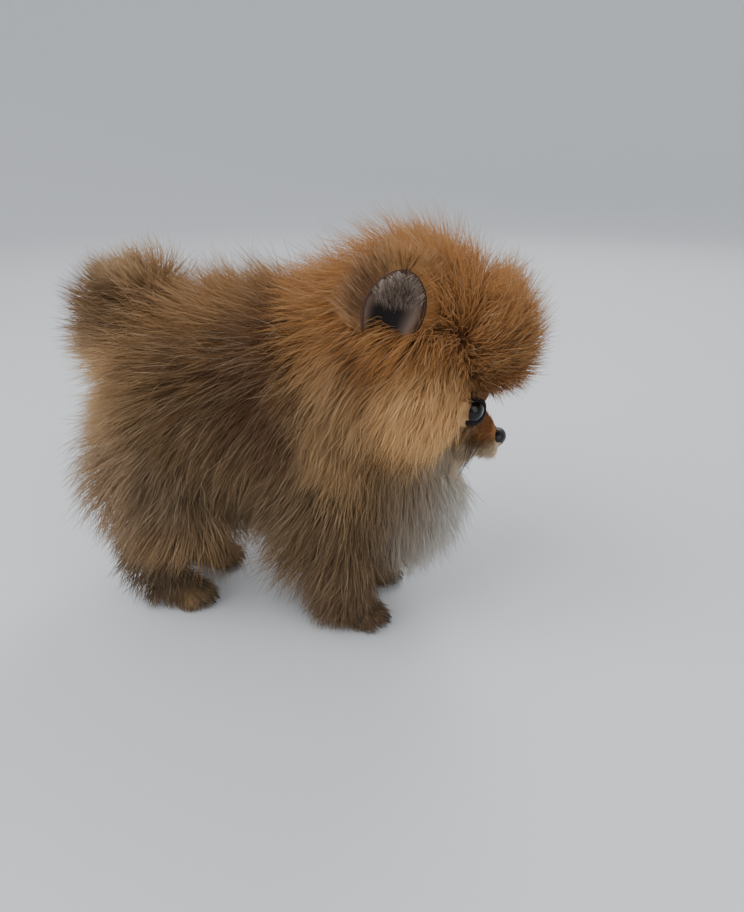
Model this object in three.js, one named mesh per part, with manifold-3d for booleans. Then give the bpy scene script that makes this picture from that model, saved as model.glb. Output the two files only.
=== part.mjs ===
// A Pomeranian puppy of about two months, life-size, standing still on the floor.
// Millimetres, +X towards the chest and nose, +Y to the puppy's left, +Z up, floor at z = 0.
// Flesh is built from rounded masses; the long coat is flat, tapered locks that bend along its lie.
import * as THREE from "three";
import { mergeVertices } from "three/addons/utils/BufferGeometryUtils.js";
import Module from "manifold-3d";

const wasm = await Module();
wasm.setup();

// Driving dimensions
const GAP = 0.3; // between nodes that touch
const CORE = 14; // the dense undercoat that the locks grow from, over the flesh
const LOCK_STEP = 31; // spacing of lock roots on the body
const FLOOR_CLEAR = 2; // the lowest that a lock's tip hangs above the floor
const HALF_STANCE = 19.5; // from the middle plane to each paw's centre
const FRONT_PAW_X = 41;
const HIND_PAW_X = -47;
const PAW_HALF_WIDTH = 9;
const HEAD_PITCH = 27; // degrees that the face looks down
const HEAD_YAW = 0; // degrees that the face is turned to the puppy's left
const SKULL_AT = new THREE.Vector3(66, 0, 128);
const EYE_RADIUS = 6.9;
const LID_THICKNESS = 1.2;
const FLESH_SIDES = 14;
const FLESH_RINGS = 8;

const vec = (x, y, z) => new THREE.Vector3(x, y, z);
const UP = vec(0, 0, 1);
const sides = [-1, 1]; // the puppy's right is the side that y is negative on

// The same sequence of draws on every run.
function seededRandom(seed) {
  let state = seed;
  return () => {
    state = (state + 0x6d2b79f5) | 0;
    let mixed = Math.imul(state ^ (state >>> 15), 1 | state);
    mixed = (mixed + Math.imul(mixed ^ (mixed >>> 7), 61 | mixed)) ^ mixed;
    return ((mixed ^ (mixed >>> 14)) >>> 0) / 4294967296;
  };
}

// The head's own frame: x forward along the face, y left, z up, from the skull's centre.
const headTurn = new THREE.Quaternion()
  .setFromAxisAngle(UP, THREE.MathUtils.degToRad(HEAD_YAW))
  .multiply(
    new THREE.Quaternion().setFromAxisAngle(vec(0, 1, 0), THREE.MathUtils.degToRad(HEAD_PITCH)),
  );
const onHead = (x, y, z) => vec(x, y, z).applyQuaternion(headTurn).add(SKULL_AT);
const headWay = (x, y, z) => vec(x, y, z).applyQuaternion(headTurn).normalize();

// Solids

function solidFrom(geometry) {
  const bare = geometry.clone();
  bare.deleteAttribute("normal");
  bare.deleteAttribute("uv");
  const merged = mergeVertices(bare, 1e-4);
  return new wasm.Manifold(
    new wasm.Mesh({
      numProp: 3,
      vertProperties: Float32Array.from(merged.getAttribute("position").array),
      triVerts: Uint32Array.from(merged.index.array),
    }),
  );
}

function geometryFrom(solid) {
  const mesh = solid.getMesh();
  const geometry = new THREE.BufferGeometry();
  geometry.setAttribute("position", new THREE.BufferAttribute(mesh.vertProperties, 3));
  geometry.setIndex(new THREE.BufferAttribute(mesh.triVerts, 1));
  return geometry;
}

function union(solids) {
  return solids.reduce((all, one) => all.add(one));
}

// The largest closed surface of a solid, which drops loose scraps and fills sealed hollows.
function largestBody(solid) {
  const bodies = solid.decompose();
  return bodies.reduce((best, one) => (one.volume() > best.volume() ? one : best));
}

// A rounded mass: an ellipsoid at a place, with radii along its own turned axes.
function mass(at, radii, turn = new THREE.Quaternion(), sides = FLESH_SIDES, rings = FLESH_RINGS) {
  return { at, radii, turn, sides, rings };
}

function massSolid(m, grow = 0) {
  const geometry = new THREE.SphereGeometry(1, m.sides, m.rings).rotateX(Math.PI / 2);
  geometry.scale(m.radii.x + grow, m.radii.y + grow, m.radii.z + grow);
  geometry.applyQuaternion(m.turn).translate(m.at.x, m.at.y, m.at.z);
  return solidFrom(geometry);
}

// How far out a point lies on a mass: below 1 is inside.
function massLevel(m, point, grow = 0) {
  const local = point.clone().sub(m.at).applyQuaternion(m.turn.clone().invert());
  return Math.hypot(
    local.x / (m.radii.x + grow),
    local.y / (m.radii.y + grow),
    local.z / (m.radii.z + grow),
  );
}

// A rounded limb: a sphere drawn out along a curve, with a radius at each point of the curve.
function limb(points, radii, sides = 9, rings = 8, flatness = 1) {
  return { curve: new THREE.CatmullRomCurve3(points), radii, sides, rings, flatness };
}

function limbSolid(l, grow = 0) {
  const geometry = new THREE.SphereGeometry(1, l.sides, l.rings);
  const position = geometry.getAttribute("position");
  const endRoundness = 0.16;
  for (let i = 0; i < position.count; i++) {
    const y = position.getY(i);
    const round = Math.hypot(position.getX(i), position.getZ(i));
    const angle = Math.atan2(position.getZ(i), position.getX(i));
    const t = THREE.MathUtils.clamp(Math.acos(THREE.MathUtils.clamp(-y, -1, 1)) / Math.PI, 0, 1);
    const centre = l.curve.getPoint(t);
    const along = l.curve.getTangent(t);
    const side = vec(0, 1, 0).cross(along).normalize();
    const across = along.clone().cross(side).normalize();
    const step = t * (l.radii.length - 1);
    const low = Math.min(Math.floor(step), l.radii.length - 2);
    const radius = THREE.MathUtils.lerp(l.radii[low], l.radii[low + 1], step - low) + grow;
    const fullness = Math.min(1, Math.pow(round, endRoundness * 3));
    const stretch = t < 0.5 ? -grow : grow;
    const endPush = (1 - round) * stretch;
    const p = centre
      .add(side.multiplyScalar(Math.cos(angle) * radius * fullness))
      .add(across.multiplyScalar(Math.sin(angle) * radius * fullness * l.flatness))
      .add(along.multiplyScalar(endPush));
    position.setXYZ(i, p.x, p.y, p.z);
  }
  const solid = solidFrom(geometry);
  return solid.volume() > 0 ? solid : solidFrom(flipped(geometry));
}

function flipped(geometry) {
  const turned = geometry.clone();
  const index = turned.index.array;
  for (let i = 0; i < index.length; i += 3) {
    [index[i + 1], index[i + 2]] = [index[i + 2], index[i + 1]];
  }
  return turned;
}

// The half space above the floor
function aboveFloor(height = 0) {
  const size = 600;
  return solidFrom(new THREE.BoxGeometry(size, size, size).translate(0, 0, size / 2 + height));
}

// Flesh

const UNTURNED = new THREE.Quaternion();
const pitched = (degrees) =>
  new THREE.Quaternion().setFromAxisAngle(vec(0, 1, 0), THREE.MathUtils.degToRad(degrees));

const skull = mass(SKULL_AT, vec(30, 26, 29), headTurn);
const brow = mass(onHead(18, 0, 18), vec(17, 19, 14), headTurn);
const cheeks = sides.map((side) => mass(onHead(9, side * 13, -12), vec(17, 12, 13), headTurn));
const orbits = sides.map((side) => mass(onHead(21, side * 11.5, -5), vec(11.5, 9.5, 10.5), headTurn));
const neckMass = mass(vec(40, 0, 117), vec(27, 24, 30), pitched(-25));
const chestMass = mass(vec(51, 0, 78), vec(26, 23, 30), UNTURNED);
const ribMass = mass(vec(14, 0, 103), vec(42, 27, 34), UNTURNED);
const loinMass = mass(vec(-24, 0, 103), vec(40, 25, 31), UNTURNED);
const rumpMass = mass(vec(-45, 0, 91), vec(27, 25, 28), UNTURNED);

// What the coat of each part grows over: the flesh with the dense undercoat on it.
function cored(m, depth = CORE) {
  const grown = m.radii.clone().addScalar(depth);
  return mass(m.at, grown, m.turn, m.sides, m.rings);
}

function armMass(side) {
  return mass(vec(32, side * 21, 66), vec(18, 11, 25), pitched(8), 14, 8);
}

function thighMass(side) {
  return mass(vec(-55, side * 20, 68), vec(24, 13, 27), pitched(-18), 14, 8);
}

// Front leg: forearm down to the wrist, which the paw meets.
function forearm(side) {
  const y = side * HALF_STANCE;
  return limb(
    [vec(34, side * 21, 66), vec(36, y, 42), vec(FRONT_PAW_X - 5, y, 14)],
    [12, 11, 9],
  );
}

// Hind leg: knee back to the hock, then down and forward to the paw.
function shank(side) {
  const y = side * HALF_STANCE;
  return limb(
    [vec(-42, side * 21, 58), vec(-58, y, 36), vec(-62, y, 26), vec(HIND_PAW_X - 7, y, 13)],
    [14, 11, 9, 8.5],
  );
}

// A paw: four toes side by side and a heel, flat where it stands on the floor.
function pawPieces(x, side) {
  const y = side * HALF_STANCE;
  const pieces = [mass(vec(x - 3, y, 8), vec(12, PAW_HALF_WIDTH, 8.6), UNTURNED, 8, 6)];
  for (const place of [-1.5, -0.5, 0.5, 1.5]) {
    const inner = Math.abs(place) < 1;
    const toeReach = inner ? 9.5 : 6;
    pieces.push(
      mass(vec(x + toeReach, y + place * 4.4, 4.2), vec(6.2, 2.7, 5), UNTURNED, 6, 4),
    );
  }
  return pieces;
}

// The claws of a paw, one on each toe: blunt cones that point forward and down.
function clawSolids(x, side, grow = 0) {
  return [-1.5, -0.5, 0.5, 1.5].map((place) => {
    const inner = Math.abs(place) < 1;
    const claw = new THREE.ConeGeometry(1.2 + grow, 5 + grow, 4);
    claw.rotateZ(-Math.PI / 2).rotateY(0.35);
    claw.translate(x + (inner ? 16.4 : 12.9), side * HALF_STANCE + place * 4.4, 3);
    return solidFrom(claw);
  });
}

// The tail rises from the rump and curls forward over the back.
const TAIL_LINE = new THREE.CatmullRomCurve3([
  vec(-60, 0, 118),
  vec(-68, 0, 132),
  vec(-67, 0, 146),
  vec(-56, 0, 153),
]);
const tailMasses = [0, 0.35, 0.7, 1].map((t) => {
  const radius = THREE.MathUtils.lerp(11, 7, t);
  return mass(TAIL_LINE.getPoint(t), vec(radius, radius, radius), new THREE.Quaternion(), 10, 6);
});

// Locks

// A lock has a flat underside and a ridge on top, and runs along a bent line from a sunk root to a pointed tip.
const THIRD_TURN = (2 * Math.PI) / 3;
const LOCK_STEPS = 3;
const LOCK_WIDTH_ALONG = [0.85, 1, 0.68, 0];
const LOCK_THICKNESS_ALONG = [1, 0.85, 0.55, 0];

function lockSolid(lock, grow = 0) {
  const geometry = new THREE.ConeGeometry(1, 1, 3, LOCK_STEPS);
  const position = geometry.getAttribute("position");
  for (let i = 0; i < position.count; i++) {
    const step = Math.round((0.5 + position.getY(i)) * LOCK_STEPS);
    const radial = Math.hypot(position.getX(i), position.getZ(i)) > 1e-6 ? 1 : 0;
    const angle = Math.atan2(position.getX(i), position.getZ(i));
    const tip = step === LOCK_STEPS;
    const half = (lock.width / 2) * LOCK_WIDTH_ALONG[step];
    const thick = (lock.thickness / 2) * LOCK_THICKNESS_ALONG[step];
    const edge = tip ? 0 : grow * (1 + half / thick); // a sharp edge needs more than its face
    const p = lock.line[step]
      .clone()
      .addScaledVector(lock.side[step], (Math.sin(angle) / Math.sin(THIRD_TURN)) * (half + edge) * radial)
      .addScaledVector(lock.rise[step], Math.cos(angle) * (thick + 2 * grow) * radial);
    if (tip) p.addScaledVector(lock.end, grow * 2);
    position.setXYZ(i, p.x, p.y, p.z);
  }
  const solid = solidFrom(geometry);
  return solid.volume() > 0 ? solid : solidFrom(flipped(geometry));
}

// One lock from a root on a surface: it leaves at a slant, then bends over along the lie.
function makeLock(root, normal, lie, { reach, run, width, thickness, sink = 4 }, obstacles) {
  const flow = lie.clone().addScaledVector(normal, -lie.dot(normal)).normalize();
  const line = [root.clone().addScaledVector(normal, -sink)];
  for (let step = 1; step <= LOCK_STEPS; step++) {
    const s = step / LOCK_STEPS;
    const p = root
      .clone()
      .addScaledVector(normal, reach * Math.sin(s * Math.PI * 0.5))
      .addScaledVector(flow, run * Math.pow(s, 1.35));
    p.z = Math.max(p.z, FLOOR_CLEAR + thickness * (1 - s));
    for (const m of obstacles) {
      const level = massLevel(m, p, thickness * 0.5);
      if (level < 1) p.sub(m.at).multiplyScalar(1 / Math.max(level, 0.3)).add(m.at);
    }
    line.push(p);
  }
  const side = [];
  const rise = [];
  for (let step = 0; step <= LOCK_STEPS; step++) {
    const from = line[Math.max(step - 1, 0)];
    const to = line[Math.min(step + 1, LOCK_STEPS)];
    const along = to.clone().sub(from).normalize();
    const across = normal.clone().cross(flow).normalize();
    side.push(across);
    rise.push(across.clone().cross(along).normalize());
  }
  const end = line[LOCK_STEPS].clone().sub(line[LOCK_STEPS - 1]).normalize();
  return { line, side, rise, end, width, thickness };
}

// Root points spread evenly over a mass, each with its outward normal.
function rootsOver(m, spacing) {
  const mean = (m.radii.x + m.radii.y + m.radii.z) / 3;
  const count = Math.round((4 * Math.PI * mean * mean) / (spacing * spacing * 0.87));
  const golden = Math.PI * (3 - Math.sqrt(5));
  const roots = [];
  for (let i = 0; i < count; i++) {
    const z = 1 - (2 * (i + 0.5)) / count;
    const ring = Math.sqrt(1 - z * z);
    const way = vec(ring * Math.cos(i * golden), ring * Math.sin(i * golden), z);
    const point = way.clone().multiply(m.radii).applyQuaternion(m.turn).add(m.at);
    const normal = way.clone().divide(m.radii).applyQuaternion(m.turn).normalize();
    roots.push({ point, normal });
  }
  return roots;
}

// Root points in rings along a limb.
function rootsAlong(l, spacing, from = 0.1, to = 0.95) {
  const length = l.curve.getLength();
  const rows = Math.max(2, Math.round((length * (to - from)) / spacing));
  const roots = [];
  for (let row = 0; row < rows; row++) {
    const t = THREE.MathUtils.lerp(from, to, (row + 0.5) / rows);
    const centre = l.curve.getPoint(t);
    const along = l.curve.getTangent(t);
    const step = t * (l.radii.length - 1);
    const low = Math.min(Math.floor(step), l.radii.length - 2);
    const radius = THREE.MathUtils.lerp(l.radii[low], l.radii[low + 1], step - low);
    const around = Math.max(5, Math.round((2 * Math.PI * radius) / spacing));
    const side = vec(0, 1, 0);
    const across = along.clone().cross(side).normalize();
    for (let i = 0; i < around; i++) {
      const angle = ((i + (row % 2) * 0.5) / around) * 2 * Math.PI;
      const normal = side
        .clone()
        .multiplyScalar(Math.cos(angle))
        .addScaledVector(across, Math.sin(angle))
        .normalize();
      roots.push({ point: centre.clone().addScaledVector(normal, radius), normal, along });
    }
  }
  return roots;
}

// Which way the coat lies at a point of each part
const headLie = (p) => {
  const out = p.clone().sub(onHead(12, 0, -8)).normalize();
  return out.add(headWay(-1.1, 0, 0));
};
const ruffLie = () => vec(-0.6, 0, -1);
const bodyLie = (p) => vec(-1, 0, p.z > 118 ? 0.15 : -0.9);
const chestLie = () => vec(0.1, 0, -1);
const legLie = (p, n) => vec(n.x < 0 ? -0.9 : -0.2, 0, -1);
const tailRoot = vec(-52, 0, 124);
const tailLie = (p) => p.clone().sub(tailRoot).normalize().add(vec(-0.35, 0, 0.15));

// Places that the coat leaves bare: the face, the mouth of each ear and the belly's middle.
const EYE_PLACE = vec(29.5, 13.6, -5.2);
const eyeAt = (side) => onHead(EYE_PLACE.x, side * EYE_PLACE.y, EYE_PLACE.z);
const EAR_PLACE = vec(-17.5, 33, 24.5);
const earAt = (side) => onHead(EAR_PLACE.x, side * EAR_PLACE.y, EAR_PLACE.z);
const earFacing = (side) => headWay(0.42, side * 1, 0.1);
const bareFace = mass(onHead(41, 0, -14), vec(25, 19, 12.5), headTurn);
const bareEyes = sides.map((side) =>
  mass(eyeAt(side).add(headWay(1, side * 0.5, 0).multiplyScalar(6)), vec(12, 8, 6.5), headTurn),
);
const bareEars = sides.map((side) =>
  mass(earAt(side).addScaledVector(earFacing(side), 9), vec(13, 13, 13)),
);
const eyeViews = sides.map((side) =>
  mass(eyeAt(side).add(headWay(1, side * 0.45, 0).multiplyScalar(16)), vec(26, 15, 14), headTurn),
);
const faceKeptBare = [bareFace, ...bareEyes, ...eyeViews, ...bareEars];

const MUZZLE = limb(
  [onHead(17, 0, -10), onHead(33, 0, -14.5), onHead(50, 0, -17)],
  [14, 10.5, 7.6],
  12,
  8,
  0.82,
);
const lips = sides.map((side) =>
  mass(onHead(36, side * 3.6, -20.7), vec(9.5, 5.2, 5), headTurn, 9, 6),
);
const JAW = limb(
  [onHead(16, 0, -25), onHead(27, 0, -26.2), onHead(39.5, 0, -24.7)],
  [8.5, 7.2, 4.8],
  10,
  6,
  0.7,
);
const NOSE_AT = onHead(48.6, 0, -14.5);
const nosePad = mass(NOSE_AT, vec(3.9, 5.3, 4.3), headTurn, 12, 8);

// The parts of the coat: what each grows over, its spacing, size and lie.
function locksOver(spec) {
  const random = seededRandom(spec.seed);
  const locks = [];
  const around = spec.around ?? [];
  const avoid = [...faceKeptBare, ...(spec.avoid ?? [])];
  for (const { point, normal, along } of spec.roots) {
    const jitter = vec(random() - 0.5, random() - 0.5, random() - 0.5);
    const vary = 0.84 + 0.32 * random();
    if (around.some((m) => massLevel(m, point) < 0.97)) continue;
    if (spec.skip && spec.skip(point, normal)) continue;
    const size = spec.size(point, normal);
    const lie = spec.lie(point, normal, along).normalize().addScaledVector(jitter, 0.5);
    const lock = makeLock(
      point,
      normal,
      lie,
      { ...size, reach: size.reach * vary, run: size.run * vary },
      spec.obstacles ?? [],
    );
    const crosses = avoid.some((m) =>
      lock.line.slice(1).some((p) => massLevel(m, p, 1.5) < 1),
    );
    if (!crosses) locks.push(lock);
  }
  return locks;
}

const topOfBack = (p) => THREE.MathUtils.smoothstep(p.z, 105, 140);
const crown = (p) => THREE.MathUtils.smoothstep(p.z, 122, 152);

const torsoCores = [ribMass, loinMass, rumpMass].map((m) => cored(m));
const chestCore = cored(chestMass, 10);
const neckCore = cored(neckMass, 12);
const skullCore = cored(skull, 14);
const browCore = cored(brow, 13);
const cheekCores = cheeks.map((m) => cored(m, 5));
const armCores = sides.map((side) => cored(armMass(side), 6));
const thighCores = sides.map((side) => cored(thighMass(side), 7));
const tailCore = { curve: TAIL_LINE, radii: [11, 9, 7] };
const tailTip = tailMasses[tailMasses.length - 1];

const coats = {
  head: locksOver({
    seed: 11,
    roots: [
      ...rootsOver(skullCore, 25),
      ...rootsOver(browCore, 23),
      ...cheekCores.flatMap((m) => rootsOver(m, 20)),
    ].filter(({ point }) =>
      [skullCore, browCore, ...cheekCores].every((m) => massLevel(m, point) > 0.985),
    ),
    skip: (p, n) => massLevel(neckCore, p) < 1.05 || (n.x < -0.4 && p.z < 158),
    lie: headLie,
    size: (p, n) => ({
      reach: 7 + 8 * crown(p) + 3 * Math.abs(n.y),
      run: 23,
      width: 23,
      thickness: 5,
    }),
  }),
  neck: locksOver({
    seed: 23,
    roots: rootsOver(neckCore, 21),
    around: [chestCore, skullCore, ...torsoCores],
    skip: (p, n) => n.x > 0.75,
    lie: (p) => (p.z > 135 ? vec(-1, 0, -0.1) : ruffLie(p)),
    size: (p, n) => ({
      reach: 10 + 5 * crown(p) + 4 * Math.abs(n.y),
      run: 32 - 8 * crown(p),
      width: 23,
      thickness: 5,
    }),
    obstacles: [skullCore, ...cheekCores],
  }),
  chest: locksOver({
    seed: 41,
    roots: rootsOver(chestCore, 25),
    around: [...torsoCores, neckCore, skullCore],
    skip: (p, n) => n.x < -0.35,
    lie: chestLie,
    size: () => ({ reach: 9, run: 26, width: 23, thickness: 5 }),
    obstacles: [chestCore],
  }),
  tail: locksOver({
    seed: 53,
    roots: [
      ...rootsAlong(tailCore, 20, 0.3, 1.1),
      { point: tailTip.at.clone().add(vec(4, 0, 5)), normal: vec(0.6, 0, 0.8), along: UP },
    ],
    around: torsoCores,
    lie: tailLie,
    size: () => ({ reach: 8, run: 20, width: 19, thickness: 4.4 }),
  }),
  torso: locksOver({
    seed: 37,
    roots: torsoCores.flatMap((m) =>
      rootsOver(m, LOCK_STEP).filter(({ point }) =>
        torsoCores.every((o) => o === m || massLevel(o, point) > 1),
      ),
    ),
    around: [chestCore, neckCore],
    skip: (p, n) => p.x > 38 || (p.distanceTo(tailRoot) < 20 && n.z > 0.5),
    lie: bodyLie,
    size: (p, n) => ({
      reach: 11 + 6 * topOfBack(p) + 6 * Math.abs(n.y),
      run: 29 - 4 * topOfBack(p) - 8 * THREE.MathUtils.smoothstep(-p.x, 40, 70),
      width: 27,
      thickness: 5.6,
    }),
    obstacles: torsoCores,
    avoid: [...armCores, ...thighCores],
  }),
};

const legNames = { "-1": "right", 1: "left" };
const legCoats = {};
sides.forEach((side, i) => {
  const inside = (p, n) => n.y * side < -0.25;
  const size = (p) => ({
    reach: p.z > 36 ? 9 : 6,
    run: p.z > 36 ? 25 : 15,
    width: p.z > 36 ? 23 : 17,
    thickness: 4.6,
  });
  legCoats[`front_${legNames[side]}`] = locksOver({
    seed: 61 + side,
    roots: [
      ...rootsOver(armCores[i], 25).filter(({ normal }) => normal.z < 0.6),
      ...rootsAlong(forearm(side), 22, 0.3, 0.9),
    ],
    around: [...torsoCores, chestCore],
    skip: inside,
    lie: legLie,
    size,
  });
  legCoats[`hind_${legNames[side]}`] = locksOver({
    seed: 71 + side,
    roots: [
      ...rootsOver(thighCores[i], 26).filter(({ normal }) => normal.z < 0.6),
      ...rootsAlong(shank(side), 22, 0.3, 0.9),
    ],
    around: torsoCores,
    skip: inside,
    lie: legLie,
    size,
  });
});

const lockSolids = (locks, grow) => locks.map((lock) => lockSolid(lock, grow));

// Eyes, lids, nose and ears

const eyeBall = (side) => mass(eyeAt(side), vec(EYE_RADIUS, EYE_RADIUS, EYE_RADIUS), headTurn, 14, 9);
const eyeFacing = (side) => headWay(0.78, side * 0.62, -0.02);

// The almond opening between the lids, run outwards from the eye's centre.
function lidOpening(side) {
  const halfLength = 5.9;
  const halfHeight = 4.3;
  const almond = new THREE.Shape();
  almond.moveTo(-halfLength, -0.6);
  almond.quadraticCurveTo(-halfLength * 0.4, halfHeight * 1.5, halfLength, 0.5);
  almond.quadraticCurveTo(halfLength * 0.2, -halfHeight * 1.6, -halfLength, -0.6);
  const geometry = new THREE.ExtrudeGeometry(almond, {
    depth: 16,
    bevelEnabled: false,
    curveSegments: 6,
  });
  const away = eyeFacing(side);
  const across = UP.clone().cross(away).normalize();
  const upward = away.clone().cross(across).normalize();
  geometry.applyMatrix4(new THREE.Matrix4().makeBasis(across, upward, away));
  const at = eyeAt(side).addScaledVector(away, 1.5);
  geometry.translate(at.x, at.y, at.z);
  return solidFrom(geometry);
}

const lidBall = (side) =>
  mass(eyeAt(side), new THREE.Vector3().setScalar(EYE_RADIUS + LID_THICKNESS), headTurn, 12, 8);

// Nose leather: a rounded pad with two comma-shaped nostrils and the groove between them.
function noseSolid() {
  const pits = sides.flatMap((side) => [
    mass(onHead(52.1, side * 2.1, -14.7), vec(2, 1.15, 1.25), headTurn, 6, 4),
    mass(onHead(50.6, side * 4.3, -15.4), vec(2, 1.7, 0.6), headTurn, 6, 4),
  ]);
  const groove = mass(onHead(52.4, 0, -17.1), vec(1.2, 0.35, 3), headTurn, 6, 4);
  return [...pits, groove].reduce((pad, pit) => pad.subtract(massSolid(pit)), massSolid(nosePad));
}

// An ear: a cup of thin skin with a rounded tip, open to the front and outside.
function earSolid(side, grow = 0) {
  const facing = earFacing(side);
  const upward = headWay(-0.12, side * 0.22, 1);
  const across = upward.clone().cross(facing).normalize();
  const trueUp = facing.clone().cross(across).normalize();
  const turn = new THREE.Quaternion().setFromRotationMatrix(
    new THREE.Matrix4().makeBasis(facing, across, trueUp),
  );
  const shell = mass(earAt(side), vec(9, 12, 14.5), turn, 10, 7);
  const hollow = mass(
    earAt(side).addScaledVector(facing, 3.4).addScaledVector(trueUp, 0.4),
    vec(10.6, 10.4, 12.8),
    turn,
    10,
    7,
  );
  return massSolid(shell, grow).subtract(massSolid(hollow, -grow));
}

// Each node's own solid, and the same a little larger for its neighbours to be cut by.
const parts = [];
function part(name, color, roughness, make) {
  parts.push({ name, color, roughness, make });
}

for (const side of sides) {
  part(`eye_${legNames[side]}`, 0x14100e, 0.05, (grow) => massSolid(eyeBall(side), grow));
}
part("nose", 0x15110f, 0.35, (grow) => (grow ? massSolid(nosePad, grow) : noseSolid()));
for (const side of sides) {
  part(`ear_${legNames[side]}`, 0x6e4a36, 0.8, (grow) => earSolid(side, grow));
}
part("lower_jaw", 0x9a7a58, 0.95, (grow) => limbSolid(JAW, grow));
part("head", 0xa8743f, 0.95, (grow) => {
  const fleshy = [
    massSolid(skullCore, grow),
    massSolid(browCore, grow),
    ...cheekCores.map((m) => massSolid(m, grow)),
    limbSolid(MUZZLE, grow),
    ...lips.map((m) => massSolid(m, grow)),
    ...sides.map((side) => massSolid(lidBall(side), grow)),
  ];
  const openings = bareEyes.map((m) => massSolid(m));
  const lids = sides.map((side) => massSolid(lidBall(side), grow));
  const cleared = openings.reduce((all, one) => all.subtract(one), union(fleshy));
  const face = union([
    cleared,
    ...orbits.map((m) => massSolid(m, grow)),
    limbSolid(MUZZLE, grow),
    ...lips.map((m) => massSolid(m, grow)),
    ...lids,
  ]);
  const open = sides.reduce((all, side) => all.subtract(lidOpening(side)), face);
  return union([open, ...lockSolids(coats.head, grow)]);
});
part("neck", 0xa5743f, 0.95, (grow) =>
  union([massSolid(neckCore, grow), ...lockSolids(coats.neck, grow)]),
);
part("tail", 0xb08a58, 0.95, (grow) =>
  union([
    ...tailMasses.map((m) => massSolid(m, grow)),
    ...lockSolids(coats.tail, grow),
  ]),
);
part("chest", 0xa59a8a, 0.95, (grow) =>
  union([massSolid(chestCore, grow), ...lockSolids(coats.chest, grow)]),
);
part("torso", 0x8f6f4a, 0.95, (grow) =>
  union([...torsoCores.map((m) => massSolid(m, grow)), ...lockSolids(coats.torso, grow)]),
);
sides.forEach((side, i) => {
  const name = legNames[side];
  part(`paw_front_${name}`, 0x6d5744, 0.95, (grow) =>
    union([
      ...pawPieces(FRONT_PAW_X, side).map((m) => massSolid(m, grow)),
      ...clawSolids(FRONT_PAW_X, side, grow),
    ]),
  );
  part(`paw_hind_${name}`, 0x6d5744, 0.95, (grow) =>
    union([
      ...pawPieces(HIND_PAW_X, side).map((m) => massSolid(m, grow)),
      ...clawSolids(HIND_PAW_X, side, grow),
    ]),
  );
  part(`leg_front_${name}`, 0x7a6248, 0.95, (grow) =>
    union([
      massSolid(armCores[i], grow),
      limbSolid(forearm(side), grow),
      ...lockSolids(legCoats[`front_${name}`], grow),
    ]),
  );
  part(`leg_hind_${name}`, 0x7a6248, 0.95, (grow) =>
    union([
      massSolid(thighCores[i], grow),
      limbSolid(shank(side), grow),
      ...lockSolids(legCoats[`hind_${name}`], grow),
    ]),
  );
});

// The nodes in order: each is cut clear of those before it, and of the floor.
const group = new THREE.Group();
const floor = aboveFloor();
const grown = [];
for (const { name, color, roughness, make } of parts) {
  let solid = make(0).intersect(floor);
  for (const other of grown) {
    solid = solid.subtract(other.solid);
  }
  const body = largestBody(solid);
  grown.push({ name, solid: largestBody(make(GAP)) });
  const material = new THREE.MeshStandardMaterial({ color, roughness, metalness: 0 });
  const mesh = new THREE.Mesh(geometryFrom(body), material);
  mesh.name = name;
  group.add(mesh);
}

// The origin is on the floor under the middle of the whole puppy.
const bounds = new THREE.Box3().setFromObject(group, true);
const middle = bounds.getCenter(vec(0, 0, 0));
group.position.set(-middle.x, -middle.y, -bounds.min.z);

export default group;
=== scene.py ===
"""A fluffy Pomeranian puppy of about two months, life-size, standing still on a pale floor.

Lengths are in millimetres in the puppy's own frame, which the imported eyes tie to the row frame:
x towards the nose, y to the puppy's left, z up from the floor.
"""

import math

import bmesh
import bpy
import numpy as np
from mathutils import Matrix, Vector
from mathutils.kdtree import KDTree


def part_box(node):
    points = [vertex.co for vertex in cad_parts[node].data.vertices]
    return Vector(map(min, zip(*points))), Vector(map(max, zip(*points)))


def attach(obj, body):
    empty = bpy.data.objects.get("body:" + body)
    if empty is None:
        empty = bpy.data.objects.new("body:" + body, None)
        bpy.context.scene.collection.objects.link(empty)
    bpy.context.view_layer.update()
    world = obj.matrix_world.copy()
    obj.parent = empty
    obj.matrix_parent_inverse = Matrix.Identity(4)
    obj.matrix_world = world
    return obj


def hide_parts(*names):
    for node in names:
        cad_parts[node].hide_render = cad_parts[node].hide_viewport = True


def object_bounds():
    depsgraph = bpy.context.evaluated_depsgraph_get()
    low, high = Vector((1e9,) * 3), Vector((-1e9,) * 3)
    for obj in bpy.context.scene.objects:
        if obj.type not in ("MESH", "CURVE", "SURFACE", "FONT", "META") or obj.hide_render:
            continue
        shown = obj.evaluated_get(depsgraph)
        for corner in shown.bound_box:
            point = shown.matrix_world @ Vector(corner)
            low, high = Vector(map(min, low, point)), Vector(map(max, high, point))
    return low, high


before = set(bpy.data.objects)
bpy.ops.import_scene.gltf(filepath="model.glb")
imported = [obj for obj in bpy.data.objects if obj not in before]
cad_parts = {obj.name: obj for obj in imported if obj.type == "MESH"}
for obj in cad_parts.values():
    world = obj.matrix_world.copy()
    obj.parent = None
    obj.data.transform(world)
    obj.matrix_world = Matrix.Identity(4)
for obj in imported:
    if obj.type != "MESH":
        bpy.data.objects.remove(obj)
cad_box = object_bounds()

# Skin: the puppy's body under its coat, bare skin over muscle and bone from the muzzle to the tail.
# Rounded masses, the same that the solids' coat grows over, are run together and smoothed.
MM = 0.001
HEAD_PITCH = math.radians(27)
SKULL_AT = np.array((66.0, 0.0, 128.0))
EYE_PLACE = (29.5, 13.6, -5.2)
HALF_STANCE = 19.5
FRONT_PAW_X = 41
HIND_PAW_X = -47
SKIN_VOXEL = 1.15
sides = (-1, 1)  # the puppy's right, then its left


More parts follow.
